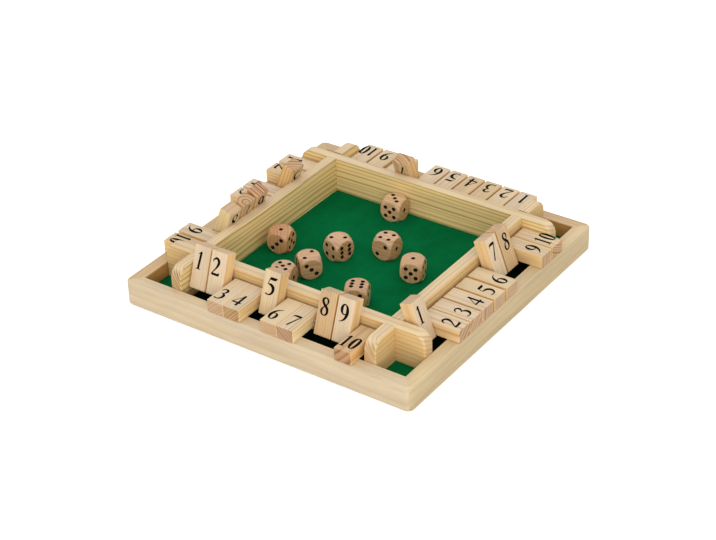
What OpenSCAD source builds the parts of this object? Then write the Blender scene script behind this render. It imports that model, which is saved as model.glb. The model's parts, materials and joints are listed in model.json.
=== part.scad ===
// Shut the box for four players. A mitred pine frame carries a plywood panel
// lined with felt, and a grid of four inner walls stands on it. Along each side
// ten numbered tiles hinge on one rod held between the ends of two walls. A tile
// lies down on the frame rail, or stands up and leans on its wall. Eight dice
// lie in the arena.
//
// X runs along the front row, Y from the front to the back, and Z is up. The
// origin is the centre of the underside. Each side is drawn as the front side
// and turned about Z, so its own X runs from its tile 1 to its tile 10.

/* [Frame] */
// Outside length of each side of the square frame
board_size = 300; // [260:1:360]
// Thickness of the frame rails
rail_thickness = 13; // [11:0.5:15]
// Height of the frame rails
rail_height = 24.5; // [21:0.5:26]
// Radius of the frame's upright corners
corner_radius = 6; // [3:0.5:9]
// Rounding of the frame's outer edges
rail_rounding = 2; // [1:0.1:2.8]
// Easing of the frame's inner top edges
rail_easing = 0.8; // [0.4:0.1:1.5]

/* [Panel and felt] */
// Thickness of the plywood panel
panel_thickness = 4; // [3:0.5:5]
// Height of the panel's underside above the table
panel_lift = 6; // [4:0.5:7]
// Depth of the groove in the rails that holds the panel
groove_depth = 5; // [3:0.5:7]
// Gap round and above the panel in its groove
panel_clearance = 0.2; // [0.1:0.05:0.3]
// Thickness of the felt
felt_thickness = 1; // [0.8:0.1:1.6]
// Gap between the felt's edge and the rails
felt_gap = 0.2; // [0.1:0.05:0.3]

/* [Inner walls] */
// Clear width of the slots between the inner walls and the rails
slot_width = 29.5; // [26:0.5:34]
// Thickness of the inner walls
wall_thickness = 11; // [9:0.5:12]
// Height of the inner walls' top edge above the table
wall_top = 45; // [41.5:0.5:47]
// Radius of the quarter-round at each end of a wall
ear_radius = 11; // [7:0.5:13]
// Rounding of the wall edges on the side of the tiles
wall_rounding = 2; // [1:0.1:3]
// Easing of the wall edges on the side of the arena
wall_easing = 0.8; // [0.4:0.1:1.5]
// Gap on each side of a half-lap joint
lap_clearance = 0.1; // [0.05:0.05:0.2]

/* [Hinge rods] */
// Diameter of the steel rods
rod_diameter = 3; // [2:0.1:4]
// Radial clearance of a tile on its rod
tile_running_fit = 0.08; // [0.02:0.01:0.1]
// Radial clearance of a rod in the walls
rod_seat_fit = 0.04; // [0.02:0.01:0.08]
// Depth of the blind holes that hold the rods
rod_seat_depth = 7; // [4:0.5:8]
// Gap left at each end of a rod
rod_end_gap = 0.2; // [0.1:0.05:0.3]

/* [Tiles] */
// How far a tile can slide along its rod in a row that stands evenly spaced
tile_play = 2.1; // [0.5:0.1:3]
// Least gap between neighbouring tiles
tile_gap = 0.3; // [0.2:0.05:0.5]
// Thickness of a tile
tile_thickness = 12.5; // [11:0.25:13.5]
// Distance from the rod to the tile's inner end
tile_heel = 9.4; // [8:0.1:10]
// Rounding of the tile's inner end, which swings past the wall
heel_rounding = 1.5; // [0.8:0.1:2.5]
// Easing of the tile's other edges
tile_easing = 0.8; // [0.4:0.1:1.2]
// Gap between the swinging inner end and the wall
swing_clearance = 0.7; // [0.4:0.1:1]
// How far a lowered tile stops short of the frame's outer face
tile_inset = 0.4; // [0.3:0.1:2]
// Gap under a lowered tile, and behind a raised one, at its stop
stop_gap = 0.05; // [0.02:0.01:0.1]

/* [Tiles as set out] */
// Front tiles from tile 1 to tile 10: u stands up and d lies down
front_tiles = "uuddudduud"; // [ten of u and d]
// The same for the right row
right_tiles = "uddddduudd"; // [ten of u and d]
// The same for the back row
back_tiles = "dddddduddd"; // [ten of u and d]
// The same for the left row
left_tiles = "ddudduuudd"; // [ten of u and d]
// How far each front tile has slid along its rod, as a share of its play. At 0.5
// it stands in its even place, and it may pass 0 or 1 where a neighbour leaves room
front_slide = [0.65, 0.2, 0.5, -0.55, -0.15, -0.25, -1.3, -0.1, -0.55, -1]; // [each -1.3 to 2]
// The same for the right row
right_slide = [1.5, 0.8, 0.2, 0.1, 0.15, 0.4, 1.15, 0.85, 1.05, 0.6]; // [each -1.3 to 2]
// The same for the back row
back_slide = [1.65, 1.25, 1, 0.7, 0.55, 0.5, 0, -0.55, 0.2, 0.2]; // [each -1.3 to 2]
// The same for the left row
left_slide = [1.6, 1.95, 1.45, 0.9, 0.85, -0.15, 0.05, 0.3, 0.05, 0.5]; // [each -1.3 to 2]

/* [Dice] */
// Distance between opposite faces of a die
die_size = 20; // [17:0.5:21]
// Diameter of the ball that trims the die's corners
die_ball = 28; // [26:0.5:29]
// Distance of the outer pips from the middle of a face
pip_offset = 4.4; // [4.2:0.1:4.8]
// Diameter of the drill that makes the pips
pip_drill = 4.4; // [3.6:0.1:4.6]
// Depth of the pips
pip_depth = 1.2; // [0.6:0.1:1.3]
// Where each die but the sixth lies, as shares of its reach in X and Y, then its
// turn about Z in degrees and the number on top
dice_thrown = [
    [-0.25, 0.98, 4, 3],
    [-0.9, -0.19, 102, 1],
    [-0.3, 0, 165, 2],
    [0.115, 0.29, 1, 4],
    [-0.365, -0.44, 51, 2],
    [0, 0, 14, 5],
    [0.58, 0.075, 20, 1],
    [0.37, -0.625, 24, 6]
]; // [shares from -1 to 1]
// Direction from the fifth die to the sixth, which lies against it, in degrees
sixth_die_bearing = 253; // [220:1:270]
// Gap between the balls of the fifth and sixth dice
dice_gap = 0; // [0:0.1:2]

/* [Hidden] */
SIDES = ["front", "right", "back", "left"];
NUMBERS = [1:10];
$fn = 64;
over = 1;

pine = "burlywood";
pale_pine = "wheat";
beech = "tan";

// Frame
half_board = board_size / 2;
opening_half = half_board - rail_thickness;

// Panel and felt
groove_half = opening_half + groove_depth;
groove_height = panel_thickness + panel_clearance;
panel_half = groove_half - panel_clearance;
felt_half = opening_half - felt_gap;
felt_bottom = panel_lift + panel_thickness;
felt_top = felt_bottom + felt_thickness;

// Inner walls
wall_outer = opening_half - slot_width;
arena_half = wall_outer - wall_thickness;
arena_width = 2 * arena_half;
wall_height = wall_top - felt_top;
lap_height = wall_height / 2;

// Tiles: the heel's swing sets the rod back from the wall, the rail's top sets
// the rod's height, and the rounded edge of the wall sets how far a tile leans
heel_corner = heel_rounding - tile_thickness / 2;
heel_reach = norm([tile_heel - heel_rounding, heel_corner]) + heel_rounding;
rod_setback = heel_reach + swing_clearance;
rod_line = wall_outer + rod_setback;
rod_height = rail_height + stop_gap + tile_thickness / 2;
tile_reach = half_board - tile_inset - rod_line;
edge_across = rod_setback + wall_rounding;
edge_up = wall_top - wall_rounding - rod_height;
edge_distance = tile_thickness / 2 + wall_rounding + stop_gap;
tile_swing = 90 + acos(edge_distance / norm([edge_across, edge_up])) - atan2(edge_up, edge_across);
rod_length = arena_width + 2 * (rod_seat_depth - rod_end_gap);

// The ten tiles of a row share the length of the arena
tile_pitch = arena_width / 10;
tile_width = tile_pitch - tile_gap - tile_play;
tiles_set = [front_tiles, right_tiles, back_tiles, left_tiles];
slides = [front_slide, right_slide, back_slide, left_slide];

// Dice: the turns that bring each number to the top, for one to six
die_top_turns = [[0, -90, 0], [90, 0, 0], [0, 0, 0], [180, 0, 0], [-90, 0, 0], [0, 90, 0]];
dice_reach = arena_half - die_size / 2;
sixth_bearing = [cos(sixth_die_bearing), sin(sixth_die_bearing)];

// A rectangle with its lower left corner at the origin and the four corner radii
// in the order lower left, lower right, upper right, upper left
module rounded_rectangle(width, height, radii) {
    corners = [[0, 0], [width, 0], [width, height], [0, height]];
    difference() {
        square([width, height]);
        for (i = [0:3]) {
            if (radii[i] > 0) {
                translate(corners[i]) rotate(90 * i) corner_cut(radii[i]);
            }
        }
    }
}

// What is cut away to round the corner of a shape at the origin
module corner_cut(radius) {
    difference() {
        translate([-over, -over]) square(radius + over);
        translate([radius, radius]) circle(radius);
    }
}

// Turns a piece drawn at the front to its own side of the board
module on_side(index) {
    rotate([0, 0, 90 * index]) children();
}

// A flat outline drawn across the board, up and outwards, run along X
module run_along_x(length) {
    translate([-length / 2, 0, 0]) rotate([90, 0, 90]) linear_extrude(length) children();
}

// A frame rail: a rounded and grooved bar, mitred at both ends, with an eighth
// of the frame's rounded upright corner at each mitre
module rail() {
    straight_half = half_board - corner_radius;
    difference() {
        union() {
            intersection() {
                run_along_x(2 * straight_half) translate([-half_board, 0]) rail_section(rail_thickness);
                rail_plan();
            }
            for (end = [0, 1]) {
                mirror([end, 0, 0]) corner_eighth(straight_half);
            }
        }
        translate([-groove_half, -groove_half, panel_lift]) {
            cube([2 * groove_half, groove_depth + over, groove_height]);
        }
    }
}

// Cross-section of a rail, outer face at the left
module rail_section(depth) {
    inner_easing = depth == rail_thickness ? rail_easing : 0;
    radii = [rail_rounding, 0, inner_easing, rail_rounding];
    rounded_rectangle(depth, rail_height, radii);
}

// The mitred outline of a rail, seen from above
module rail_plan() {
    linear_extrude(rail_height) polygon([
        [-half_board, -half_board],
        [half_board, -half_board],
        [opening_half, -opening_half],
        [-opening_half, -opening_half]
    ]);
}

// The part of a rounded upright corner that belongs to the front rail
module corner_eighth(straight_half) {
    translate([straight_half, -straight_half, 0]) rotate([0, 0, -90]) rotate_extrude(angle = 45) {
        translate([corner_radius, 0]) mirror([1, 0]) rail_section(corner_radius);
    }
}

// An inner wall, drawn with its arena face on the plane Y = 0 and standing on
// Z = 0. It runs on past its two crossings to the rails, where each end has a
// quarter-round top and a blind hole for a rod. Each crossing is a half-lap.
module inner_wall(notched_from_below) {
    notch_bottom = notched_from_below ? -over : lap_height;
    difference() {
        wall_board();
        for (end = [-1, 1]) {
            notch_centre = end * (arena_half + wall_thickness / 2);
            notch_width = wall_thickness + 2 * lap_clearance;
            translate([notch_centre - notch_width / 2, -wall_thickness - over, notch_bottom]) {
                cube([notch_width, wall_thickness + 2 * over, lap_height + over]);
            }
            translate([end * rod_line, -rod_seat_depth, rod_height - felt_top]) {
                rotate([-90, 0, 0]) cylinder(h = rod_seat_depth + over, d = rod_diameter + 2 * rod_seat_fit);
            }
        }
    }
}

// The board of a wall before its notches and holes are cut
module wall_board() {
    straight_half = opening_half - ear_radius;
    run_along_x(2 * straight_half) translate([-wall_thickness, 0]) {
        rounded_rectangle(wall_thickness, wall_height, [0, 0, wall_easing, wall_rounding]);
    }
    for (end = [0, 1]) {
        mirror([end, 0, 0]) translate([straight_half, 0, 0]) {
            linear_extrude(wall_height - ear_radius) mirror([0, 1]) wall_end_section();
            translate([0, 0, wall_height - ear_radius]) rotate([90, 0, 0]) {
                rotate_extrude(angle = 90) wall_end_section();
            }
        }
    }
}

// Section of a wall's end, from the wall outwards and from the arena face on
module wall_end_section() {
    rounded_rectangle(ear_radius, wall_thickness, [0, wall_easing, wall_rounding, 0]);
}

module rail_on(index) {
    color(pine) on_side(index) rail();
}

// The front and back walls drop over the left and right ones
module wall_on(index) {
    color(pine) on_side(index) translate([0, -arena_half, felt_top]) inner_wall(index % 2 == 0);
}

module base_panel() {
    color(pale_pine) translate([-panel_half, -panel_half, panel_lift]) {
        cube([2 * panel_half, 2 * panel_half, panel_thickness]);
    }
}

module felt_sheet() {
    color("darkgreen") translate([-felt_half, -felt_half, felt_bottom]) {
        cube([2 * felt_half, 2 * felt_half, felt_thickness]);
    }
}

// One rod along each side, held in blind holes in the ends of two walls
module hinge_rods() {
    color("silver") for (index = [0:3]) {
        on_side(index) translate([-rod_length / 2, -rod_line, rod_height]) {
            rotate([0, 90, 0]) cylinder(h = rod_length, d = rod_diameter);
        }
    }
}

// A tile lying down, with its rod along X at the origin and its left side on the
// plane X = 0. Its inner end points to +Y and its outer end to -Y.
module tile() {
    length = tile_heel + tile_reach;
    difference() {
        intersection() {
            rotate([90, 0, 90]) linear_extrude(tile_width) {
                translate([-tile_reach, -tile_thickness / 2]) {
                    radii = [tile_easing, heel_rounding, heel_rounding, tile_easing];
                    rounded_rectangle(length, tile_thickness, radii);
                }
            }
            translate([0, tile_heel, -tile_thickness / 2]) rotate([90, 0, 0]) {
                linear_extrude(length) eased_rectangle(tile_width, tile_thickness);
            }
            translate([0, -tile_reach, -tile_thickness / 2]) {
                linear_extrude(tile_thickness) eased_rectangle(tile_width, length);
            }
        }
        translate([-over, 0, 0]) rotate([0, 90, 0]) {
            cylinder(h = tile_width + 2 * over, d = rod_diameter + 2 * tile_running_fit);
        }
    }
}

module eased_rectangle(width, height) {
    rounded_rectangle(width, height, [for (i = [0:3]) tile_easing]);
}

// A tile on its rod, where it has slid to, down or up
module tile_on(index, number) {
    slid = slides[index][number - 1] * tile_play;
    left_side = (number - 1) * tile_pitch + tile_gap / 2 + slid - arena_half;
    is_up = tiles_set[index][number - 1] == "u";
    color(is_up ? pine : pale_pine) on_side(index) translate([left_side, -rod_line, rod_height]) {
        rotate([is_up ? -tile_swing : 0, 0, 0]) tile();
    }
}

// A die with its centre at the origin: a cube trimmed by a ball, with pips that
// run 1, 2, 3 anticlockwise round a corner and opposite faces that add to seven
module die() {
    p = pip_offset;
    difference() {
        intersection() {
            cube(die_size, center = true);
            sphere(d = die_ball, $fn = 96);
        }
        rotate([0, 90, 0]) pips([[0, 0]]);
        rotate([-90, 0, 0]) pips([[p, p], [-p, -p]]);
        pips([[p, -p], [-p, p], [0, 0]]);
        rotate([180, 0, 0]) pips([[p, p], [-p, -p], [p, -p], [-p, p]]);
        rotate([90, 0, 0]) pips([[p, p], [-p, -p], [p, -p], [-p, p], [0, 0]]);
        rotate([0, -90, 0]) pips([for (x = [-p, p], y = [-p, 0, p]) [x, y]]);
    }
}

// The hollows of the pips on the upper face
module pips(places) {
    for (place = places) {
        translate([place[0], place[1], die_size / 2 - pip_depth + pip_drill / 2]) {
            sphere(d = pip_drill, $fn = 48);
        }
    }
}

function share_place(number) = dice_reach * [dice_thrown[number - 1][0], dice_thrown[number - 1][1]];
function die_place(number) =
    number == 6 ? share_place(5) + (die_ball + dice_gap) * sixth_bearing : share_place(number);

module die_thrown(number) {
    place = die_place(number);
    color(beech) translate([place[0], place[1], felt_top + die_size / 2]) {
        rotate([0, 0, dice_thrown[number - 1][2]]) rotate(die_top_turns[dice_thrown[number - 1][3] - 1]) die();
    }
}

for (i = [0:3]) {
    rail_on(i);
    wall_on(i);
    for (n = NUMBERS) {
        tile_on(i, n);
    }
}
base_panel();
felt_sheet();
hinge_rods();
for (n = [1:8]) {
    die_thrown(n);
}
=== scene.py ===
import json
import math

import bpy
import numpy as np
from mathutils import Matrix, Vector


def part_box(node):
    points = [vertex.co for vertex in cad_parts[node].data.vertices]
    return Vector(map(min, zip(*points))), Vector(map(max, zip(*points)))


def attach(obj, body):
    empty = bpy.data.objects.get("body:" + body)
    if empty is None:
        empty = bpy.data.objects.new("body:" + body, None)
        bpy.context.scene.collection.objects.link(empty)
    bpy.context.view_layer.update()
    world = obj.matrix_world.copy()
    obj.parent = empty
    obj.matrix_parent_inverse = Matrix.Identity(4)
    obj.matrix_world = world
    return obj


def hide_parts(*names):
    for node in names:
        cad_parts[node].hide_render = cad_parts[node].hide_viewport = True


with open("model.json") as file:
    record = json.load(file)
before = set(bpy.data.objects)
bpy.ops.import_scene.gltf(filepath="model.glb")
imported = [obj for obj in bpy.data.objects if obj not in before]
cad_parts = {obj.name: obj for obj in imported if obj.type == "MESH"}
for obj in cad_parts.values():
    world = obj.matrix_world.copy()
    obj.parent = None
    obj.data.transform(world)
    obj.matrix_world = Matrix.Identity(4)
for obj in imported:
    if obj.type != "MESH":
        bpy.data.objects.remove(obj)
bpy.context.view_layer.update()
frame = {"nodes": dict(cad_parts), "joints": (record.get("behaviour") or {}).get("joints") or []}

scene = bpy.context.scene

# ---------------------------------------------------------------------------
# Camera and studio
# The camera stands off the front right corner, a third of the way up, with a
# long lens. The game stands in a white tent: the sky and the floor light it
# from all sides, and a large soft lamp low at the front adds a little shape.
# ---------------------------------------------------------------------------
VIEW_TURN = math.radians(35.73)
VIEW_HEIGHT = math.radians(32.55)
VIEW_ROLL = math.radians(-1.80)
VIEW_TARGET = Vector((-0.0083, 0.0042, 0.0))
VIEW_DISTANCE = 1.6663
NEAREST_SEEN = 0.05
SENSOR_WIDTH = 36.0
FOCAL_LENGTH = 92.73
LAMP_PLACE = Vector((1.05, -1.65, 0.55))
LAMP_SIZE = 1.2
LAMP_POWER = 11.0
LAMP_COLOUR = (1.0, 0.99, 0.97)
WHITE = (1.0, 1.0, 1.0, 1.0)
SKY_STRENGTH = 0.97
FLOOR_REACH = 4.0
FLOOR_COLOUR = (0.85, 0.85, 0.85, 1.0)
FLOOR_ROUGHNESS = 0.9
FLOOR_SHINE = 0.1
FLOOR_GLOW = 0.45


def look_from(turn, height, roll):
    """Camera axes as matrix columns: right, up and back.

    Back points from the target to the camera at that turn and height, and roll turns right
    towards up.
    """
    level = math.cos(height)
    back = Vector((math.sin(turn) * level, -math.cos(turn) * level, math.sin(height)))
    right = (-back).cross(Vector((0, 0, 1))).normalized()
    up = back.cross(right)
    rolled_right = right * math.cos(roll) + up * math.sin(roll)
    rolled_up = up * math.cos(roll) - right * math.sin(roll)
    return Matrix((rolled_right, rolled_up, back)).transposed()


def set_inputs(tree, node, values):
    """Gives inputs of a node, by name or number, a constant or the socket that feeds them."""
    for key, value in values.items():
        if isinstance(value, bpy.types.NodeSocket):
            tree.links.new(value, node.inputs[key])
        else:
            node.inputs[key].default_value = value


def add_node(tree, kind, values=None, **settings):
    """A shader node with its settings and the values of its inputs."""
    made = tree.nodes.new(kind)
    for key, value in settings.items():
        setattr(made, key, value)
    set_inputs(tree, made, values or {})
    return made


def calc(tree, operation, *values):
    """The output of a Math node on one to three constants or sockets."""
    return add_node(tree, "ShaderNodeMath", dict(enumerate(values)), operation=operation).outputs[0]


def new_material(name):
    """A material with nodes, and its node tree."""
    material = bpy.data.materials.new(name)
    material.use_nodes = True
    return material, material.node_tree


def set_finish(tree, values):
    """Sets the inputs of a material's shader."""
    set_inputs(tree, tree.nodes["Principled BSDF"], values)


camera = bpy.data.objects.new("camera", bpy.data.cameras.new("camera"))
camera.data.sensor_width = SENSOR_WIDTH
camera.data.lens = FOCAL_LENGTH
camera.data.clip_start = NEAREST_SEEN
camera_axes = look_from(VIEW_TURN, VIEW_HEIGHT, VIEW_ROLL)
camera_place = VIEW_TARGET + camera_axes.col[2] * VIEW_DISTANCE
camera.matrix_world = Matrix.Translation(camera_place) @ camera_axes.to_4x4()
scene.collection.objects.link(camera)
scene.camera = camera
scene.view_settings.view_transform = "Standard"

lamp = bpy.data.objects.new("key_light", bpy.data.lights.new("key_light", "AREA"))
lamp.data.size = LAMP_SIZE
lamp.data.energy = LAMP_POWER
lamp.data.color = LAMP_COLOUR
lamp_turn = LAMP_PLACE.normalized().to_track_quat("Z", "Y").to_matrix()
lamp.matrix_world = Matrix.Translation(LAMP_PLACE) @ lamp_turn.to_4x4()
scene.collection.objects.link(lamp)

sky = bpy.data.worlds.new("studio")
scene.world = sky
sky.use_nodes = True
sky_values = {"Color": WHITE, "Strength": SKY_STRENGTH}
set_inputs(sky.node_tree, sky.node_tree.nodes["Background"], sky_values)

floor_paint, floor_tree = new_material("floor_paint")
seen = add_node(floor_tree, "ShaderNodeLightPath").outputs["Is Camera Ray"]
set_finish(floor_tree, {
    "Base Color": FLOOR_COLOUR,
    "Roughness": FLOOR_ROUGHNESS,
    "Specular IOR Level": FLOOR_SHINE,
    "Emission Color": WHITE,
    "Emission Strength": calc(floor_tree, "MULTIPLY", seen, FLOOR_GLOW),
})
floor_mesh = bpy.data.meshes.new("floor")
floor_corners = np.array([(-1, -1, 0), (1, -1, 0), (1, 1, 0), (-1, 1, 0)]) * FLOOR_REACH
floor_mesh.from_pydata(floor_corners.tolist(), [], [(0, 1, 2, 3)])
floor_mesh.materials.append(floor_paint)
floor = bpy.data.objects.new("floor", floor_mesh)
scene.collection.objects.link(floor)

# ---------------------------------------------------------------------------
# Frame rails
# Four pine bars, mitred at the corners and sanded round outside, under a thin
# coat of wax. The wood is flat-sawn, so the outer faces show long, wavy grain,
# and each bar's grain runs its own way up to the mitre. The outer faces are
# pale; painted shade darkens them a little, most on the front and right bars,
# and makes the inner faces in the corner pockets darker and warmer.
# ---------------------------------------------------------------------------
SIDES = ("front", "right", "back", "left")
MILLIMETRES = 1000.0
# Noises in the wood: waves per millimetre along, across and through the board,
# what is added to the board's seed, then detail and roughness.
WAVER_NOISE = ((0.008, 0.05, 0.05), 0.0, 2.0, 0.5)
DRIFT_NOISE = ((0.004, 0.03, 0.03), 7.3, 1.0, 0.5)
FIBRE_NOISE = ((0.06, 2.6, 2.6), 3.1, 3.0, 0.6)
PORE_NOISE = ((0.3, 3.2, 3.2), 5.7, 2.0, 0.7)
PATCH_NOISE = ((0.012, 0.07, 0.07), 9.9, 2.0, 0.5)
STREAK_NOISE = ((0.018, 1.1, 1.1), 12.4, 2.0, 0.6)
# Between these lies most of what a noise gives.
NOISE_SPAN = (0.3, 0.7)
# Where late wood starts and is full within a ring, and where it drops back.
LATE_RISE = (0.38, 0.88)
LATE_FALL = (0.90, 1.0)
# How much of a ring's late wood is left to chance, and the least of it.
LATE_CHANCE = (0.55, 0.45)
DARKEST_LATE = 1.25
RING_DRIFT = 0.45
RING_UNEVENNESS = 1.3
# How squarely a face looks along an axis where it starts to count, and counts
# in full, as end grain or as facing that way.
END_FACING = (0.55, 0.92)
SIDE_FACING = (0.4, 0.9)
STREAK_COOL = (0.96, 0.99, 1.04)
STREAK_WARM = (1.04, 1.01, 0.93)
PATCH_DEPTH = 0.45
WOOD_ROUGHNESS = 0.50
END_ROUGHER = 0.05
LATE_SMOOTHER = -0.08
RING_RELIEF = 0.4
WOOD_BUMP = {"Strength": 0.35, "Distance": 0.0002}
COAT_ROUGHNESS = 0.3


def opaque(colour):
    """A colour with full alpha."""
    return (*colour, 1.0)


def ramp(tree, value, low, high, start=0.0, end=1.0):
    """A smooth step: start below low, end above high."""
    values = {"Value": value, "From Min": low, "From Max": high, "To Min": start, "To Max": end}
    return add_node(tree, "ShaderNodeMapRange", values, interpolation_type="SMOOTHSTEP").outputs[0]


def blend_colours(tree, share, first, second, **settings):
    """Two colours mixed by share."""
    values = {0: share, 6: first, 7: second}
    return add_node(tree, "ShaderNodeMix", values, data_type="RGBA", **settings).outputs[2]


def noise(tree, place, scale, seed, detail, roughness):
    """Noise from 0 to 1 at place, in millimetres, with one scale for each axis."""
    stretched = add_node(
        tree, "ShaderNodeVectorMath", {0: place, 1: scale}, operation="MULTIPLY",
    ).outputs[0]
    values = {"Vector": stretched, "W": seed, "Scale": 1.0}
    values |= {"Detail": detail, "Roughness": roughness}
    return add_node(tree, "ShaderNodeTexNoise", values, noise_dimensions="4D").outputs[0]


def build_sawn_wood():
    """Solid wood as a node group, with the tree's middle along X.

    Distance is that from the middle, after slow noise times Waver has shifted the place across
    and through the board. Ring number = distance / Ring Width, plus uneven noise. Late wood
    rises within each ring and drops back before the next, by more or less as chance has it.
    Colour = Early Wood moved towards Late Wood by late wood times Ring Strength, which is also
    multiplied by Near Rings on faces towards -Y and +Z and by End Rings on end grain. It is
    then multiplied by the tone of its face, which is Near towards -Y, Far towards +Y and End
    where the surface faces along the grain, by streaks, and by patches and grit. The face tones
    can carry painted light and shade. Grit is fine fibres, with pores in their place on end grain.
    """
    tree = bpy.data.node_groups.new("sawn_wood", "ShaderNodeTree")
    inputs = {
        "Vector": ("Place", "Facing"),
        "Color": ("Early Wood", "Late Wood", "Near Tone", "Far Tone", "End Tone"),
        "Float": (
            "Ring Width", "Ring Strength", "Near Rings", "End Rings", "Waver", "Fibre", "Seed",
        ),
    }
    for kind, names in inputs.items():
        for name in names:
            tree.interface.new_socket(name, in_out="INPUT", socket_type="NodeSocket" + kind)
    for name, kind in (("Color", "Color"), ("Roughness", "Float"), ("Height", "Float")):
        tree.interface.new_socket(name, in_out="OUTPUT", socket_type="NodeSocket" + kind)
    given = tree.nodes.new("NodeGroupInput").outputs
    place, seed = given["Place"], given["Seed"]

    def wood_noise(waves, seed_shift, detail, roughness):
        """One of the wood's own noises, from 0 to 1."""
        return noise(tree, place, waves, calc(tree, "ADD", seed, seed_shift), detail, roughness)

    def centred_noise(values):
        """One of the wood's own noises, from -0.5 to 0.5."""
        return calc(tree, "SUBTRACT", wood_noise(*values), 0.5)

    def scaled(share, scale):
        """1 where share is 0, and scale where it is 1."""
        return calc(tree, "MULTIPLY_ADD", share, calc(tree, "SUBTRACT", scale, 1.0), 1.0)

    across, deep = add_node(tree, "ShaderNodeSeparateXYZ", {0: place}).outputs[1:]
    across = calc(tree, "MULTIPLY_ADD", centred_noise(WAVER_NOISE), given["Waver"], across)
    deep = calc(tree, "MULTIPLY_ADD", centred_noise(DRIFT_NOISE), given["Waver"], deep)
    squares = [calc(tree, "MULTIPLY", part, part) for part in (across, deep)]
    distance = calc(tree, "SQRT", calc(tree, "ADD", *squares))
    rings = calc(tree, "DIVIDE", distance, given["Ring Width"])
    drift_place = calc(tree, "ADD", calc(tree, "MULTIPLY", rings, RING_DRIFT), seed)
    drift_values = {"W": drift_place, "Scale": 1.0, "Detail": 1.0}
    uneven = add_node(tree, "ShaderNodeTexNoise", drift_values, noise_dimensions="1D").outputs[0]
    rings = calc(tree, "MULTIPLY_ADD", uneven, RING_UNEVENNESS, rings)
    within = calc(tree, "FRACT", rings)
    number = {"W": calc(tree, "ADD", calc(tree, "FLOOR", rings), seed)}
    chance = add_node(tree, "ShaderNodeTexWhiteNoise", number, noise_dimensions="1D").outputs[0]
    rise, fall = ramp(tree, within, *LATE_RISE), ramp(tree, within, *LATE_FALL, 1.0, 0.0)
    late = calc(tree, "MULTIPLY", rise, fall)
    late = calc(tree, "MULTIPLY", late, calc(tree, "MULTIPLY_ADD", chance, *LATE_CHANCE))

    facing = add_node(tree, "ShaderNodeSeparateXYZ", {0: given["Facing"]}).outputs
    end_grain = ramp(tree, calc(tree, "ABSOLUTE", facing[0]), *END_FACING)
    near = ramp(tree, facing[1], *(-limit for limit in SIDE_FACING))
    far = ramp(tree, facing[1], *SIDE_FACING)
    calm = calc(tree, "MAXIMUM", near, ramp(tree, facing[2], *SIDE_FACING))
    grits = {0: end_grain, 2: centred_noise(FIBRE_NOISE), 3: centred_noise(PORE_NOISE)}
    grit = add_node(tree, "ShaderNodeMix", grits, data_type="FLOAT").outputs[0]
    grit = calc(tree, "MULTIPLY", grit, given["Fibre"])

    strength = calc(tree, "MULTIPLY", given["Ring Strength"], scaled(end_grain, given["End Rings"]))
    strength = calc(tree, "MULTIPLY", strength, scaled(calm, given["Near Rings"]))
    lateness = calc(tree, "MINIMUM", calc(tree, "MULTIPLY", late, strength), DARKEST_LATE)
    early_wood, late_wood = given["Early Wood"], given["Late Wood"]
    colour = blend_colours(tree, lateness, early_wood, late_wood, clamp_factor=False)
    streaks = ramp(tree, wood_noise(*STREAK_NOISE), *NOISE_SPAN)
    streaks = blend_colours(tree, streaks, opaque(STREAK_COOL), opaque(STREAK_WARM))
    for share, tone in (
        (near, given["Near Tone"]), (far, given["Far Tone"]), (end_grain, given["End Tone"]),
        (1.0, streaks),
    ):
        colour = blend_colours(tree, share, colour, tone, blend_type="MULTIPLY")
    lightness = calc(tree, "MULTIPLY_ADD", centred_noise(PATCH_NOISE), PATCH_DEPTH, 1.0)
    lit = {0: colour, "Scale": calc(tree, "ADD", lightness, grit)}
    roughness = calc(tree, "MULTIPLY_ADD", end_grain, END_ROUGHER, WOOD_ROUGHNESS)
    add_node(tree, "NodeGroupOutput", {
        "Color": add_node(tree, "ShaderNodeVectorMath", lit, operation="SCALE").outputs[0],
        "Roughness": calc(tree, "MULTIPLY_ADD", late, LATE_SMOOTHER, roughness),
        "Height": calc(tree, "ADD", calc(tree, "MULTIPLY", late, RING_RELIEF), grit),
    })
    return tree


sawn_wood = build_sawn_wood()


def board_axes(grain, width):
    """Matrix whose rows are a board's axes: along the grain, across and through the board."""
    return Matrix((grain, width, Vector(grain).cross(Vector(width))))


def object_place(tree, **values):
    """Places on the object in millimetres, turned and shifted as values say."""
    source = add_node(tree, "ShaderNodeTexCoord").outputs["Object"]
    values = {"Vector": source, "Scale": (MILLIMETRES,) * 3, **values}
    return add_node(tree, "ShaderNodeMapping", values).outputs[0]


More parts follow.
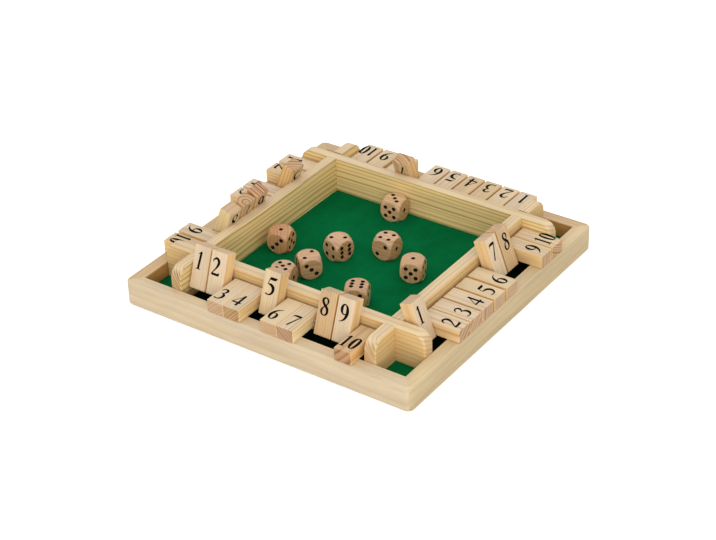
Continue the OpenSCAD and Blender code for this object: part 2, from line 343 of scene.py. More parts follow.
def wood_material(
    name, axes, origin, pith, pine, tones, seed, *, ring_width, strength, waver, fibre,
    near_rings=1.0, end_rings=1.7, shine=0.5, coat=0.0,
):
    """Waxed solid wood for one board.

    axes and origin are the board's own. pith is the tree's middle across and through the board
    from there, in millimetres, as ring_width and waver are too. pine is the early and the late
    wood's colour, and tones are those of the near, far and end faces; on rails, walls and tiles
    they also carry painted light and shade. near_rings and end_rings say how much of the ring
    strength is left on faces towards -Y and +Z and on end grain. coat is the weight of a varnish
    over the wax.
    """
    material, tree = new_material(name)
    turn = axes.to_euler("XYZ")
    shift = axes @ (Vector(origin) * -MILLIMETRES) - Vector((0, pith[0], pith[1]))
    normal = add_node(tree, "ShaderNodeTexCoord").outputs["Normal"]
    facing = add_node(tree, "ShaderNodeMapping", {"Vector": normal, "Rotation": turn}).outputs[0]
    wood = add_node(tree, "ShaderNodeGroup", {
        "Place": object_place(tree, Location=shift, Rotation=turn),
        "Facing": facing,
        "Early Wood": opaque(pine[0]),
        "Late Wood": opaque(pine[1]),
        "Near Tone": opaque(tones[0]),
        "Far Tone": opaque(tones[1]),
        "End Tone": opaque(tones[2]),
        "Ring Width": ring_width,
        "Ring Strength": strength,
        "Near Rings": near_rings,
        "End Rings": end_rings,
        "Waver": waver,
        "Fibre": fibre,
        "Seed": seed,
    }, node_tree=sawn_wood).outputs
    bump = add_node(tree, "ShaderNodeBump", {"Height": wood["Height"], **WOOD_BUMP})
    set_finish(tree, {
        "Base Color": wood["Color"],
        "Roughness": wood["Roughness"],
        "Specular IOR Level": shine,
        "Coat Weight": coat,
        "Coat Roughness": COAT_ROUGHNESS,
        "Normal": bump.outputs["Normal"],
    })
    return material


def dress(name, material):
    """Gives a CAD node its finish."""
    materials = frame["nodes"][name].data.materials
    materials.clear()
    materials.append(material)


def side_turn(index):
    """Rotation from the front side to another side."""
    return Matrix.Rotation(math.radians(90 * index), 3, "Z")


def side_board(index, middle):
    """Axes and middle of the board on one side that lies along X, at middle, on the front side."""
    turn = side_turn(index)
    return board_axes(turn @ Vector((1, 0, 0)), turn @ Vector((0, 1, 0))), turn @ Vector(middle)


RAIL_MIDDLE = (0, -0.1435, 0.012)
RAIL_PITHS = ((-46.0, 30.0), (-60.0, -42.0), (50.0, 36.0), (-44.0, 52.0))
RAIL_PINES = (
    ((0.70, 0.555, 0.37), (0.60, 0.44, 0.25)),
    ((0.67, 0.515, 0.30), (0.55, 0.40, 0.20)),
    ((0.62, 0.43, 0.23), (0.50, 0.31, 0.14)),
    ((0.62, 0.43, 0.23), (0.50, 0.31, 0.14)),
)
# Painted shade: the outer faces a little darker, most on the front and right rails; the inner faces
# in the corner pockets darker and warmer.
RAIL_OUTER_PAINTED_SHADE = ((0.93, 0.93, 0.93), (0.88, 0.88, 0.86), (0.95, 0.95, 0.95), (0.95, 0.95, 0.95))
RAIL_INNER_PAINTED_SHADE = (0.9, 0.72, 0.45)
RAIL_END = (0.8, 0.68, 0.6)
RAIL_GRAIN = {"ring_width": 4.6, "strength": 0.6, "waver": 14.0, "fibre": 0.4}
RAIL_SEED = 2.0
for index, side in enumerate(SIDES):
    dress(side + "_rail", wood_material(
        side + "_rail_pine", *side_board(index, RAIL_MIDDLE), RAIL_PITHS[index],
        RAIL_PINES[index], (RAIL_OUTER_PAINTED_SHADE[index], RAIL_INNER_PAINTED_SHADE, RAIL_END), RAIL_SEED + index, **RAIL_GRAIN,
    ))

# ---------------------------------------------------------------------------
# Base panel
# Bare birch plywood, slid into the grooves of the rails before the last rail
# was glued on. Only its underside shows.
# ---------------------------------------------------------------------------
PANEL_PITH = (40.0, -26.0)
PANEL_BIRCH = ((0.62, 0.45, 0.27), (0.5, 0.33, 0.17))
PANEL_TONE = (0.8, 0.7, 0.6)
PANEL_GRAIN = {"ring_width": 5.5, "strength": 0.35, "waver": 30.0, "fibre": 0.2, "shine": 0.2}
PANEL_SEED = 21.0
panel_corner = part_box("base_panel")[0]
dress("base_panel", wood_material(
    "panel_plywood", board_axes(Vector((1, 0, 0)), Vector((0, 1, 0))), panel_corner, PANEL_PITH,
    PANEL_BIRCH, (PANEL_TONE,) * 3, PANEL_SEED, **PANEL_GRAIN,
))

# ---------------------------------------------------------------------------
# Felt lining
# One sheet of pressed green wool felt, glued to the panel from rail to rail.
# Its nap lies unevenly, and under the rows of tiles painted shade darkens it to near black.
# ---------------------------------------------------------------------------
FELT_CELLS = 180
FELT_LIFT = 0.00002
FELT_DROP = 0.00004
FELT_EDGE_DROP = 0.0003
FELT_EDGE_WIDTH = 0.0004
FELT_SEED = 5
# Bounds of the painted shade under the rows of tiles, in millimetres from the
# board's middle: past the walls, and between their ends.
TILE_ROW_START = (105.0, 108.0)
TILE_ROW_END = (97.0, 101.0)
FELT_COLOUR = (0.0015, 0.165, 0.048)
FELT_DARK = (0.0006, 0.085, 0.023)
# Painted shade: the felt's colour under the rows of tiles.
FELT_PAINTED_SHADE = (0.0004, 0.012, 0.005)
FLECKS_PER_MM = (2.2, 2.2, 2.2)
NAPS_PER_MM = (0.05, 0.05, 0.05)
FLECK_SHARE = 0.75
NAP_SHARE = 0.25
LIE_EDGES = (0.35, 0.62)
FELT_BUMP = {"Strength": 0.6, "Distance": 0.0003}
FELT_FINISH = {
    "Roughness": 0.95,
    "Specular IOR Level": 0.02,
    "Sheen Weight": 0.02,
    "Sheen Roughness": 0.6,
    "Sheen Tint": (0.05, 0.9, 0.4, 1.0),
}


def smooth_field(x, y, seed, waves=14, longest=0.03, shortest=0.004):
    """Gentle bumps from -1 to 1.

    The sum of plane waves of seeded direction, length and phase, divided by the square root of
    half their number and halved.
    """
    chance = np.random.default_rng(seed)
    angle = chance.uniform(0, 2 * np.pi, waves)
    number = 2 * np.pi / np.exp(chance.uniform(np.log(shortest), np.log(longest), waves))
    phase = chance.uniform(0, 2 * np.pi, waves)
    across = x[..., None] * np.cos(angle) + y[..., None] * np.sin(angle)
    return np.clip(np.sin(across * number + phase).sum(-1) / math.sqrt(waves / 2) / 2, -1, 1)


def mesh_piece(name, vertices, faces, material, smooth=True):
    """A mesh object at the origin from an array of vertices and a list of faces."""
    data = bpy.data.meshes.new(name)
    data.from_pydata(vertices.tolist(), [], faces)
    data.polygons.foreach_set("use_smooth", np.full(len(data.polygons), smooth))
    data.materials.append(material)
    data.update()
    piece = bpy.data.objects.new(name, data)
    scene.collection.objects.link(piece)
    return piece


def grid_faces(rows, columns, start=0):
    """Quads of a grid of rows by columns vertices, counted along the rows."""
    corner = start + (np.arange(rows - 1)[:, None] * columns + np.arange(columns - 1)).ravel()
    return np.stack([corner, corner + 1, corner + columns + 1, corner + columns], -1)


def felt_sheet(low, high, cells):
    """A closed slab, as vertices and quads.

    Top height = full thickness less the drop times 2 + a smooth field, and less the edge drop
    times e to the power of minus the distance from the edge over the edge's width. The underside
    is flat, and lifted a hair off the panel.
    """
    spread = np.linspace(0, 1, cells + 1)
    x = low.x + (high.x - low.x) * spread
    y = low.y + (high.y - low.y) * spread
    grid_x, grid_y = np.meshgrid(x, y)
    edge_x = np.minimum(grid_x - low.x, high.x - grid_x)
    edge_y = np.minimum(grid_y - low.y, high.y - grid_y)
    edge = np.minimum(edge_x, edge_y)
    drop = FELT_DROP * (1 + smooth_field(grid_x, grid_y, FELT_SEED))
    rounding = FELT_EDGE_DROP * np.exp(-edge / FELT_EDGE_WIDTH)
    top = high.z - FELT_DROP - drop - rounding
    bottom = np.full_like(top, low.z + FELT_LIFT)
    levels = [np.stack([grid_x, grid_y, z], -1).reshape(-1, 3) for z in (top, bottom)]
    count = grid_x.size
    ring = np.arange(count).reshape(cells + 1, cells + 1)
    ring = np.concatenate([ring[0, :-1], ring[:-1, -1], ring[-1, :0:-1], ring[:0:-1, 0]])
    following = np.roll(ring, -1)
    walls = np.stack([ring, ring + count, following + count, following], -1)
    upper = grid_faces(cells + 1, cells + 1)
    under = grid_faces(cells + 1, cells + 1, count)[:, ::-1]
    return np.concatenate(levels), np.concatenate([upper, under, walls])


def felt_material():
    """Matt wool: fibre flecks and a slow lie of the nap, with a faint sheen.

    Painted shade darkens it where the larger of |x| and |y| is past the walls and the smaller
    is between their ends, which is under the rows of tiles.
    """
    material, tree = new_material("green_felt")
    place = object_place(tree)
    flecks = noise(tree, place, FLECKS_PER_MM, seed=1.0, detail=4.0, roughness=0.75)
    nap = noise(tree, place, NAPS_PER_MM, seed=4.0, detail=3.0, roughness=0.6)
    flecks_part = calc(tree, "MULTIPLY", flecks, FLECK_SHARE)
    lie = calc(tree, "ADD", flecks_part, calc(tree, "MULTIPLY", nap, NAP_SHARE))
    lie = ramp(tree, lie, *LIE_EDGES)
    colour = blend_colours(tree, lie, opaque(FELT_DARK), opaque(FELT_COLOUR))
    parts = add_node(tree, "ShaderNodeSeparateXYZ", {0: place}).outputs
    out = [calc(tree, "ABSOLUTE", part) for part in parts[:2]]
    # Painted shade mask: past the walls and between their ends, under the rows of tiles.
    past_walls = ramp(tree, calc(tree, "MAXIMUM", *out), *TILE_ROW_START)
    between_ends = ramp(tree, calc(tree, "MINIMUM", *out), *TILE_ROW_END, 1.0, 0.0)
    painted_shade_under_tiles = calc(tree, "MULTIPLY", past_walls, between_ends)
    bump = add_node(tree, "ShaderNodeBump", {"Height": flecks, **FELT_BUMP})
    set_finish(tree, {
        **FELT_FINISH,
        "Base Color": blend_colours(tree, painted_shade_under_tiles, colour, opaque(FELT_PAINTED_SHADE)),
        "Normal": bump.outputs["Normal"],
    })
    return material


felt_low, felt_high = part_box("felt_sheet")
felt_points, felt_quads = felt_sheet(felt_low, felt_high, FELT_CELLS)
felt = mesh_piece("felt_lining", felt_points, felt_quads.tolist(), felt_material())
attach(felt, "board")
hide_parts("felt_sheet")

# ---------------------------------------------------------------------------
# Inner walls
# Quarter-sawn pine, so the faces show close straight lines. The boards cross
# in half-laps and end in sanded quarter-rounds. The faces towards the arena
# carry painted light, most on the back wall, and a yellower tone; the faces
# towards the tile slots carry painted warm shade and a yellower tone.
# ---------------------------------------------------------------------------
WALL_MIDDLE = (0, -0.102, 0.0275)
WALL_PITHS = ((-60.0, -150.0), (115.0, -96.0), (-45.0, 160.0), (-146.0, -88.0))
WALL_PINE = ((0.735, 0.56, 0.34), (0.38, 0.245, 0.07))
# Painted warm shade and a yellower tone on the faces towards the tile slots; painted light and a
# yellower tone on those towards the arena.
WALL_SLOT_PAINTED_SHADE_AND_TONE = (1.0, 0.9, 0.68)
WALL_ARENA_PAINTED_LIGHT_AND_TONE = ((1.14, 1.11, 0.84), (1.14, 1.11, 0.84), (1.22, 1.19, 0.93), (1.14, 1.11, 0.84))
WALL_END = (0.82, 0.72, 0.62)
WALL_RINGS = (3.7, 2.8, 3.7, 2.4)
WALL_END_RINGS = (0.6, 1.3, 0.6, 1.8)
WALL_GRAIN = {"strength": 1.0, "waver": 5.0, "fibre": 0.35, "near_rings": 0.5}
WALL_SEED = 11.0
for index, side in enumerate(SIDES):
    dress(side + "_wall", wood_material(
        side + "_wall_pine", *side_board(index, WALL_MIDDLE), WALL_PITHS[index], WALL_PINE,
        (WALL_SLOT_PAINTED_SHADE_AND_TONE, WALL_ARENA_PAINTED_LIGHT_AND_TONE[index], WALL_END), WALL_SEED + index, **WALL_GRAIN,
        ring_width=WALL_RINGS[index], end_rings=WALL_END_RINGS[index],
    ))

# ---------------------------------------------------------------------------
# Hinge rods
# Bright drawn steel, one along each row, let into blind holes in the walls.
# ---------------------------------------------------------------------------
STEEL_DULL = (0.36, 0.36, 0.37)
STEEL_BRIGHT = (0.56, 0.56, 0.57)
STEEL_ROUGHNESS = (0.25, 0.45)
SCRATCHES_PER_MM = (1.5, 1.5, 9.0)
SCRATCH_SPAN = (0.2, 0.8)


def steel_material():
    """Drawn steel: fine scratches brighten it and make it rougher."""
    material, tree = new_material("drawn_steel")
    place = object_place(tree)
    scratches = noise(tree, place, SCRATCHES_PER_MM, seed=2.0, detail=3.0, roughness=0.7)
    set_finish(tree, {
        "Base Color": blend_colours(tree, scratches, opaque(STEEL_DULL), opaque(STEEL_BRIGHT)),
        "Roughness": ramp(tree, scratches, *SCRATCH_SPAN, *STEEL_ROUGHNESS),
        "Metallic": 1.0,
    })
    return material


dress("hinge_rods", steel_material())

# ---------------------------------------------------------------------------
# Tiles
# Forty blocks sawn from mixed pine offcuts, so each has its own rings, tone
# and grain. They are eased on all edges and hinge on the rods.
# ---------------------------------------------------------------------------
TILES_IN_ROW = 10
TILE_SWING = math.radians(110.49)
TILE_THICKNESS = 0.0125
# Tones of the tiles' sides and ends. The sides carry painted warm light, and
# those of the lying front and left tiles and of single tiles carry more painted
# light. The ends are darker end grain, and the lying tiles' ends carry painted
# shade besides; single tiles have their own end tones.
TILE_SIDE_PAINTED_WARM_LIGHT = (1.10, 0.98, 0.73)
LYING_SIDE_PAINTED_LIGHT = (1.22, 1.14, 0.87)
LYING_END_GRAIN_AND_SHADE = (0.76, 0.63, 0.54)
RAISED_END = (0.88, 0.79, 0.74)
OWN_SIDES_PAINTED_LIGHT = {
    "front_7": (1.38, 1.41, 1.21),
    "left_2": (1.41, 1.44, 1.31),
    "left_8": (1.12, 1.13, 0.97),
}
OWN_ENDS = {
    "front_4": (0.70, 0.55, 0.37),
    "front_7": (0.68, 0.54, 0.44),
    "front_8": (0.93, 1.09, 1.15),
    "right_8": (0.97, 0.96, 0.99),
}
TILE_PINES = (
    ((0.71, 0.555, 0.375), (0.50, 0.31, 0.14)),
    ((0.70, 0.54, 0.335), (0.50, 0.30, 0.13)),
    ((0.66, 0.475, 0.27), (0.46, 0.25, 0.10)),
    ((0.62, 0.42, 0.22), (0.42, 0.20, 0.08)),
    ((0.68, 0.46, 0.26), (0.33, 0.13, 0.05)),
)
COMMON_PINES = 3
# Each cut says where the tree's middle lies, as the degrees from the rod towards
# the upper face and the distance, then the ring width, ring strength and pine.
TILE_CUTS = {
    "front_1": (5, 60, 2.4, 0.35, 0),
    "front_2": (-20, 60, 2.4, 0.35, 0),
    "front_3": (-50, 60, 2.6, 0.42, 0),
    "front_4": (-42, 110, 2.1, 0.85, 0),
    "front_5": (-15, 50, 2.0, 0.55, 1),
    "front_6": (100, 60, 4.0, 0.18, 1),
    "front_7": (50, 25, 2.5, 0.80, 0),
    "front_8": (20, 45, 2.4, 0.55, 3),
    "front_9": (-10, 50, 2.2, 0.40, 0),
    "front_10": (135, 60, 6.0, 0.80, 3),
    "right_1": (10, 60, 2.2, 0.55, 0),
    "right_2": (-44, 80, 4.8, 0.90, 0),
    "right_3": (-34, 80, 4.6, 0.60, 0),
    "right_4": (-6, 80, 4.2, 0.45, 0),
    "right_5": (100, 60, 4.0, 0.15, 1),
    "right_6": (80, 60, 4.0, 0.15, 1),
    "right_7": (15, 50, 2.4, 0.40, 0),
    "right_8": (-30, 45, 2.2, 0.60, 3),
    "right_9": (0, 60, 3.4, 0.70, 1),
    "right_10": (65, 50, 2.4, 0.85, 1),
    "back_4": (20, 60, 2.5, 0.50, 2),
    "back_7": (65, 35, 3.0, 0.85, 2),
    "left_3": (50, 35, 3.2, 1.00, 2),
    "left_6": (-4, 150, 3.2, 1.00, 4),
    "left_7": (53, 4.8, 3.6, 0.95, 2),
    "left_8": (90, 60, 4.0, 0.20, 1),
}
PITH_DISTANCES = (18, 70)
RING_WIDTHS = (1.7, 4.0)
RING_STRENGTHS = (0.15, 0.75)
TILE_GRAIN = {"waver": 1.6, "fibre": 0.45, "end_rings": 2.4}
TILE_SEED = 40.0
CUT_DRAWS = 41
tile_joints = {joint["child"]: joint for joint in frame["joints"] if joint["type"] == "hinge"}


def tile_frame(name, index):
    """A tile's own axes, its middle on the rod, and whether it is raised.

    The rows of the axes are outwards along the tile, along the rod, and out of its upper face.
    A raised tile is turned up by its swing, and its hinge's range lies below its rest at zero.
    """
    joint = tile_joints[name]
    turn = side_turn(index)
    along_rod = turn @ Vector((1, 0, 0))
    axes = board_axes(turn @ Vector((0, -1, 0)), along_rod)
    raised = joint["range_deg"][0] < -1
    if raised:
        lift = Matrix.Rotation(-TILE_SWING, 3, along_rod)
        axes = (lift @ axes.transposed()).transposed()
    low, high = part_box(name)
    middle = Vector(joint["pos_m"])
    middle += along_rod * ((low + high) / 2 - middle).dot(along_rod)
    return axes, middle, raised


tile_chance = np.random.default_rng(CUT_DRAWS)
tile_frames = {}
for index, side in enumerate(SIDES):
    for number in range(1, TILES_IN_ROW + 1):
        place = f"{side}_{number}"
        name = "tile_" + place
        axes, middle, raised = tile_frame(name, index)
        tile_frames[place] = (axes, middle, raised)
        angle = tile_chance.uniform(0, 2 * math.pi)
        away = tile_chance.uniform(*PITH_DISTANCES)
        pine = tile_chance.integers(COMMON_PINES)
        ring_width = tile_chance.uniform(*RING_WIDTHS)
        strength = tile_chance.uniform(*RING_STRENGTHS)
        if place in TILE_CUTS:
            degrees, away, ring_width, strength, pine = TILE_CUTS[place]
            angle = math.radians(degrees)
        # Painted light on the sides, and painted shade over the end grain on the lying tiles' ends.
        painted_side_light = LYING_SIDE_PAINTED_LIGHT if side in ("front", "left") and not raised else TILE_SIDE_PAINTED_WARM_LIGHT
        painted_side_light = OWN_SIDES_PAINTED_LIGHT.get(place, painted_side_light)
        end_tone = OWN_ENDS.get(place, RAISED_END if raised else LYING_END_GRAIN_AND_SHADE)
        dress(name, wood_material(
            name + "_pine", axes, middle, (away * math.cos(angle), away * math.sin(angle)),
            TILE_PINES[pine], (painted_side_light, painted_side_light, end_tone),
            TILE_SEED + TILES_IN_ROW * index + number, **TILE_GRAIN,
            ring_width=ring_width, strength=strength,
        ))

# ---------------------------------------------------------------------------
# Numerals
# Black serif numerals, printed on both broad faces of each tile near its free
# end, so that one reads upright when the tile lies down and one when it
# stands.
# ---------------------------------------------------------------------------
NUMERAL_HEIGHT = 0.0161
# From the rod to the near end of the numeral, on each side.
NUMERAL_FEET = (0.0090, 0.0092, 0.0107, 0.0105)
PEN_WEIGHT = 1.3
THINNEST_STROKE = 0.002
PEN_STEPS = 7
DIGIT_WIDTHS = {"0": 0.88, "3": 1.08, "4": 1.08, "5": 1.1, "6": 1.07, "8": 1.12, "9": 1.05}
DIGIT_PLACES = {1: (0.0,), 2: (-0.27, 0.25)}
# In degrees to the right, on the tiles whose numeral leans.
NUMERAL_LEANS = {"front_1": 5.0, "front_5": 6.0}
# How far the print has slipped along the rod on the face that shows, in
# millimetres, by side and number. On hidden faces it is a mean and a spread.
NUMERAL_SLIPS = (
    (-1.4, -1.8, -2.3, -1.3, 0.2, -2.2, -0.5, -1.6, -0.6, -0.6),
    (-2.5, -1.2, -0.2, -0.1, -0.1, -0.3, -1.4, 0.4, -0.1, 1.1),
    (-0.3, -0.3, -0.4, -0.2, 0.4, 0.0, -0.3, -0.3, 0.3, 1.3),
    (-2.4, -2.1, -0.8, -1.6, -1.5, -0.5, -0.4, -0.4, -0.1, -0.5),
)
HIDDEN_SLIP = (-0.0005, 0.0005)
INK_LIFT = 0.00003
PRINT_DRAWS = 8
INK_BLACK = (0.003, 0.0025, 0.002)
INK_WORN = (0.02, 0.014, 0.009)
INK_ROUGHNESS = (0.45, 0.7)
INK_SHINE = 0.05
INK_SPECKS_PER_MM = (3.0, 3.0, 3.0)
WEAR_SPAN = (0.55, 0.8)
# Each digit's pen strokes: (x across, y up, half width) as shares of the height.
STROKES = {
    "0": [
        [(0.0, 0.975, 0.024), (-0.13, 0.86, 0.055), (-0.18, 0.5, 0.068), (-0.13, 0.14, 0.055),
         (0.0, 0.025, 0.024), (0.13, 0.14, 0.055), (0.18, 0.5, 0.068), (0.13, 0.86, 0.055),
         (0.0, 0.975, 0.024)],
    ],
    "1": [
        [(0.0, 0.0, 0.056), (0.0, 0.97, 0.056)],
        [(-0.17, 0.845, 0.008), (-0.05, 0.9, 0.026), (0.0, 0.955, 0.045), (0.056, 1.0, 0.0)],
        [(-0.165, 0.013, 0.013), (-0.07, 0.018, 0.018), (0.0, 0.05, 0.05), (0.07, 0.018, 0.018),
         (0.165, 0.013, 0.013)],
    ],
    "2": [
        [(-0.235, 0.71, 0.012), (-0.19, 0.84, 0.03), (-0.03, 0.945, 0.05), (0.12, 0.86, 0.064),
         (0.15, 0.7, 0.064), (0.08, 0.5, 0.045), (-0.06, 0.29, 0.028), (-0.23, 0.06, 0.02)],
        [(-0.25, 0.05, 0.05), (0.16, 0.055, 0.055), (0.21, 0.09, 0.05), (0.27, 0.19, 0.006)],
    ],
    "3": [
        [(-0.215, 0.76, 0.012), (-0.15, 0.88, 0.03), (-0.02, 0.95, 0.04), (0.1, 0.87, 0.055),
         (0.115, 0.74, 0.055), (0.04, 0.61, 0.03), (-0.09, 0.545, 0.01)],
        [(-0.06, 0.56, 0.012), (0.08, 0.51, 0.045), (0.165, 0.36, 0.066), (0.14, 0.17, 0.06),
         (0.02, 0.045, 0.035), (-0.12, 0.035, 0.026), (-0.205, 0.085, 0.042)],
    ],
    "4": [
        [(0.1, 0.0, 0.055), (0.1, 1.0, 0.055)],
        [(0.13, 0.985, 0.018), (-0.25, 0.3, 0.018)],
        [(-0.27, 0.275, 0.042), (0.25, 0.275, 0.042)],
    ],
    "5": [
        [(-0.12, 0.93, 0.062), (0.16, 0.94, 0.06), (0.26, 1.02, 0.004)],
        [(-0.13, 0.97, 0.02), (-0.205, 0.6, 0.016)],
        [(-0.205, 0.6, 0.01), (-0.05, 0.6, 0.05), (0.1, 0.51, 0.07), (0.165, 0.34, 0.068),
         (0.12, 0.15, 0.05), (0.0, 0.045, 0.032), (-0.13, 0.035, 0.026), (-0.215, 0.085, 0.042)],
    ],
    "6": [
        [(0.24, 0.985, 0.008), (0.09, 0.93, 0.022), (-0.06, 0.79, 0.045), (-0.155, 0.58, 0.066),
         (-0.18, 0.36, 0.07), (-0.13, 0.14, 0.052), (-0.01, 0.028, 0.026), (0.11, 0.09, 0.045),
         (0.165, 0.28, 0.066), (0.13, 0.46, 0.05), (0.02, 0.555, 0.028), (-0.1, 0.52, 0.018),
         (-0.16, 0.45, 0.008)],
    ],
    "7": [
        [(-0.255, 0.78, 0.0), (-0.2, 0.9, 0.035), (-0.1, 0.935, 0.058), (0.2, 0.935, 0.06)],
        [(0.225, 0.985, 0.025), (0.07, 0.52, 0.036), (-0.09, 0.0, 0.04)],
    ],
    "8": [
        [(0.01, 0.975, 0.024), (-0.11, 0.9, 0.044), (-0.14, 0.78, 0.054), (-0.08, 0.64, 0.06),
         (0.03, 0.53, 0.062), (0.13, 0.4, 0.062), (0.16, 0.23, 0.054), (0.1, 0.08, 0.038),
         (-0.01, 0.026, 0.024), (-0.13, 0.09, 0.042), (-0.165, 0.23, 0.05), (-0.12, 0.38, 0.034),
         (-0.03, 0.49, 0.02), (0.09, 0.62, 0.022), (0.14, 0.77, 0.042), (0.11, 0.9, 0.042),
         (0.01, 0.975, 0.024)],
    ],
}
STROKES["9"] = [[(-x, 1 - y, half) for x, y, half in stroke] for stroke in STROKES["6"]]


def pen_line(points):
    """A smooth line through (x, y, half width) points, or the plain line through two.

    Catmull-Rom cubics, with the first and the last point repeated.
    """
    given = np.array(points, float)
    if len(given) == 2:
        return given
    held = np.concatenate([given[:1], given, given[-1:]])
    before, start, end, after = held[:-3, None], held[1:-2, None], held[2:-1, None], held[3:, None]
    t = (np.arange(PEN_STEPS) / PEN_STEPS)[None, :, None]
    slope = (end - before) * t
    bend = (2 * before - 5 * start + 4 * end - after) * t**2
    twist = (3 * start - before - 3 * end + after) * t**3
    curve = 0.5 * (2 * start + slope + bend + twist)
    return np.concatenate([curve.reshape(-1, 3), given[-1:]])


def ribbon(points):
    """A flat band: at each point of a pen line, its normal times the half width, either way."""
    line = pen_line(points)
    tangent = np.gradient(line[:, :2], axis=0)
    tangent /= np.linalg.norm(tangent, axis=1, keepdims=True)
    normal = np.stack([-tangent[:, 1], tangent[:, 0]], -1)
    half = np.maximum(line[:, 2:] * PEN_WEIGHT, THINNEST_STROKE)
    return np.stack([line[:, :2] + normal * half, line[:, :2] - normal * half], 1).reshape(-1, 2)


def numeral_shape(text):
    """Vertices and quads of one or two digits, side by side.

    The vertices are x across and y up, both as shares of the height.
    """
    vertices, faces, count = [], [], 0
    for digit, place in zip(text, DIGIT_PLACES[len(text)]):
        width = DIGIT_WIDTHS.get(digit, 1.0)
        for stroke in STROKES[digit]:
            band = ribbon([(x * width, y, half) for x, y, half in stroke]) + (place, 0)
            vertices.append(band)
            faces.append(grid_faces(len(band) // 2, 2, count))
            count += len(band)
    return np.concatenate(vertices), np.concatenate(faces)


def numeral_material():
    """Black printing ink, a little worn over the grain."""
    material, tree = new_material("numeral_ink")
    place = object_place(tree)
    specks = noise(tree, place, INK_SPECKS_PER_MM, seed=6.0, detail=3.0, roughness=0.6)
    wear = ramp(tree, specks, *WEAR_SPAN)
    set_finish(tree, {
        "Base Color": blend_colours(tree, wear, opaque(INK_BLACK), opaque(INK_WORN)),
        "Roughness": ramp(tree, specks, *NOISE_SPAN, *INK_ROUGHNESS),
        "Specular IOR Level": INK_SHINE,
    })
    return material


numeral_ink = numeral_material()
print_chance = np.random.default_rng(PRINT_DRAWS)
for place, (axes, middle, raised) in tile_frames.items():
    name = "tile_" + place
    side, text = place.split("_")
    index = SIDES.index(side)
    shape, faces = numeral_shape(text)
    lean = math.radians(NUMERAL_LEANS.get(place, 0.0))
    shape = shape + (shape[:, 1:] - 0.5) * (math.sin(lean), 0)
    outwards, along_rod, upper = (np.array(axis) for axis in axes)
    vertices, quads = [], []
    for face, way in ((upper, -1), (-upper, 1)):
        foot = NUMERAL_FEET[index] + (NUMERAL_HEIGHT if way < 0 else 0)
        slip = print_chance.normal(*HIDDEN_SLIP)
        if (way < 0) != raised:
            slip = NUMERAL_SLIPS[index][int(text) - 1] / MILLIMETRES
        lift = TILE_THICKNESS / 2 + INK_LIFT
        spot = np.array(middle) + face * lift + outwards * foot + along_rod * slip
        across, up = shape[:, :1] * NUMERAL_HEIGHT, shape[:, 1:] * NUMERAL_HEIGHT * way
        quads.append(faces[:, ::-1] + sum(map(len, vertices)))
        vertices.append(spot + across * along_rod + up * outwards)
    numeral = mesh_piece(
        name + "_numeral", np.concatenate(vertices), np.concatenate(quads).tolist(), numeral_ink,
        smooth=False,
    )
    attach(numeral, name)

# ---------------------------------------------------------------------------
# Dice
# Beech cubes, trimmed by a ball at the corners and varnished. The pips are
# shallow drilled hollows filled with black paint.
# ---------------------------------------------------------------------------
DIE_SIZE = 0.020
DIE_BEECHES = (
    ((0.66, 0.42, 0.23), (0.46, 0.24, 0.10)),
    ((0.62, 0.375, 0.20), (0.44, 0.21, 0.09)),
    ((0.62, 0.33, 0.155), (0.42, 0.18, 0.065)),
)
DIE_WOODS = (0, 2, 1, 1, 1, 1, 0, 0)
DIE_TONES = ((0.98, 0.93, 0.88), (0.98, 0.93, 0.88), (0.9, 0.8, 0.7))
DIE_GRAIN = {"strength": 0.7, "waver": 4.0, "fibre": 1.0, "end_rings": 1.4, "coat": 0.7}
DIE_PITH_DISTANCES = (15, 40)
DIE_RING_WIDTHS = (2.5, 4.5)
DIE_SEED = 70.0
DIE_DRAWS = 3
# Each die's turn in degrees, and the number of pips on top.
DIE_THROWS = ((4, 3), (102, 1), (165, 2), (1, 4), (51, 2), (14, 5), (20, 1), (24, 6))
TOP_TURNS = {1: ("Y", -90), 2: ("X", 90), 3: ("X", 0), 4: ("X", 180), 5: ("X", -90), 6: ("Y", 90)}
PIP_DEPTH = 0.0012
PIP_DRILL = 0.0022
PIP_OFFSET = 0.0044
PAINT_THICKNESS = 0.00003
PAINT_BLACK = (0.003, 0.002, 0.002)
PAINT_GREY = (0.012, 0.008, 0.006)
PAINT_ROUGHNESS = (0.25, 0.45)
PAINT_SHINE = 0.1
MOTTLES_PER_MM = (2.5, 2.5, 2.5)
# The turn from the top to each face, and where its pips are, in pip offsets.
PIP_LAYOUT = (
    (("Y", 90), ((0, 0),)),
    (("X", -90), ((1, 1), (-1, -1))),
    (("X", 0), ((1, -1), (-1, 1), (0, 0))),
    (("X", 180), ((1, 1), (-1, -1), (1, -1), (-1, 1))),
    (("X", 90), ((1, 1), (-1, -1), (1, -1), (-1, 1), (0, 0))),
    (("Y", -90), ((-1, -1), (-1, 0), (-1, 1), (1, -1), (1, 0), (1, 1))),
)


def face_turn(axis, degrees):
    """Rotation by that many degrees about an axis."""
    return Matrix.Rotation(math.radians(degrees), 3, axis)


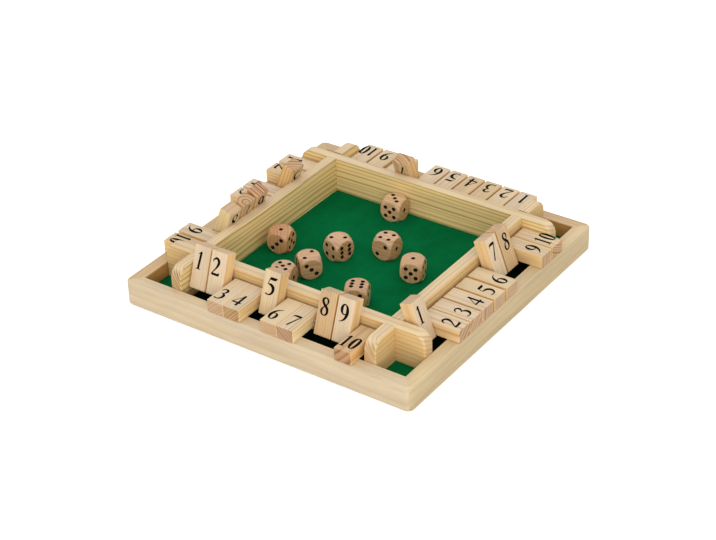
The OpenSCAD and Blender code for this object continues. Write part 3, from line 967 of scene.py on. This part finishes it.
def pip_cap(rings=5, around=20, hub=0.02):
    """Paint in a drilled hollow, as vertices, quads and the ring that closes the bottom.

    The part of a ball that lies below the face, as angle from the bottom by angle round. The
    ball is the drill's, less the paint's thickness, and hub is the share of the angle left to
    the ring.
    """
    reach = math.acos((PIP_DRILL - PIP_DEPTH) / PIP_DRILL)
    angles = np.linspace(0, 2 * np.pi, around + 1)[:-1]
    down, turn = np.meshgrid(np.linspace(hub, 1.0, rings) * reach, angles, indexing="ij")
    radius = PIP_DRILL - PAINT_THICKNESS
    out = radius * np.sin(down)
    height = DIE_SIZE / 2 - PIP_DEPTH + PIP_DRILL - radius * np.cos(down)
    cap = np.stack([out * np.cos(turn), out * np.sin(turn), height], -1).reshape(-1, 3)
    ring = np.arange(rings - 1)[:, None] * around
    step = np.arange(around)
    after = (step + 1) % around
    quads = np.stack([ring + step, ring + around + step, ring + around + after, ring + after], -1)
    return cap, quads.reshape(-1, 4)[:, ::-1], step


def pip_material():
    """Black paint, glossier than the bare wood round it."""
    material, tree = new_material("pip_paint")
    place = object_place(tree)
    mottle = noise(tree, place, MOTTLES_PER_MM, seed=3.0, detail=3.0, roughness=0.6)
    set_finish(tree, {
        "Base Color": blend_colours(tree, mottle, opaque(PAINT_BLACK), opaque(PAINT_GREY)),
        "Roughness": ramp(tree, mottle, *NOISE_SPAN, *PAINT_ROUGHNESS),
        "Specular IOR Level": PAINT_SHINE,
    })
    return material


pip_paint = pip_material()
cap, cap_quads, cap_hub = pip_cap()
die_chance = np.random.default_rng(DIE_DRAWS)
for number, (yaw, top) in enumerate(DIE_THROWS, 1):
    name = f"die_{number}"
    low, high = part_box(name)
    middle = (low + high) / 2
    turn = face_turn("Z", yaw) @ face_turn(*TOP_TURNS[top])
    pith = (die_chance.uniform(*DIE_PITH_DISTANCES), die_chance.uniform(*DIE_PITH_DISTANCES))
    dress(name, wood_material(
        name + "_beech", turn.transposed(), middle, pith, DIE_BEECHES[DIE_WOODS[number - 1]],
        DIE_TONES, DIE_SEED + number, **DIE_GRAIN, ring_width=die_chance.uniform(*DIE_RING_WIDTHS),
    ))
    vertices, faces = [], []
    for face, places in PIP_LAYOUT:
        to_face = np.array(face_turn(*face))
        for x, y in places:
            spot = cap + np.array((x * PIP_OFFSET, y * PIP_OFFSET, 0))
            start = len(cap) * len(vertices)
            vertices.append(spot @ to_face.T @ np.array(turn).T + np.array(middle))
            faces += (cap_quads + start).tolist() + [(cap_hub + start).tolist()]
    pips = mesh_piece(name + "_pips", np.concatenate(vertices), faces, pip_paint)
    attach(pips, name)
